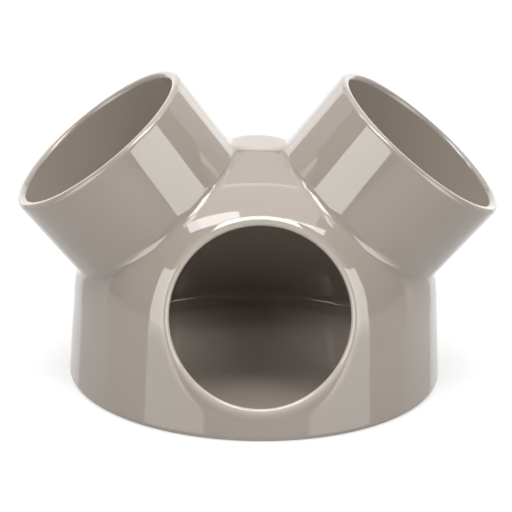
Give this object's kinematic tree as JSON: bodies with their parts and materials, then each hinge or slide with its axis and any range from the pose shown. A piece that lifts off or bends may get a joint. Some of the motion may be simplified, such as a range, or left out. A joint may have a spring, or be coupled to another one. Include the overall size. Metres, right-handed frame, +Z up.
{
  "type": "small pet hideout",
  "caption": "Glazed ceramic hideout for small pets: a hollow dome with a round front doorway, a floor, and open tubes that lean up and out to the sides.",
  "frame": {"origin": "centre of the foot, on the surface that the hideout stands on", "axes": "+Z up along the axis of the dome, -Y out of the doorway, +X towards the right tube as seen from the front"},
  "size_m": [0.1764, 0.1398, 0.1164],
  "materials": {
    "glaze": "warm grey glossy glaze, thinning to cream on the rims and on the doorway lip"
  },
  "bodies": {
    "root": {"dome_shell": "glaze", "floor_plate": "glaze", "floor_seam": "glaze", "left_tube": "glaze", "right_tube": "glaze", "left_tube_seam": "glaze", "right_tube_seam": "glaze"}
  },
  "joints": []
}
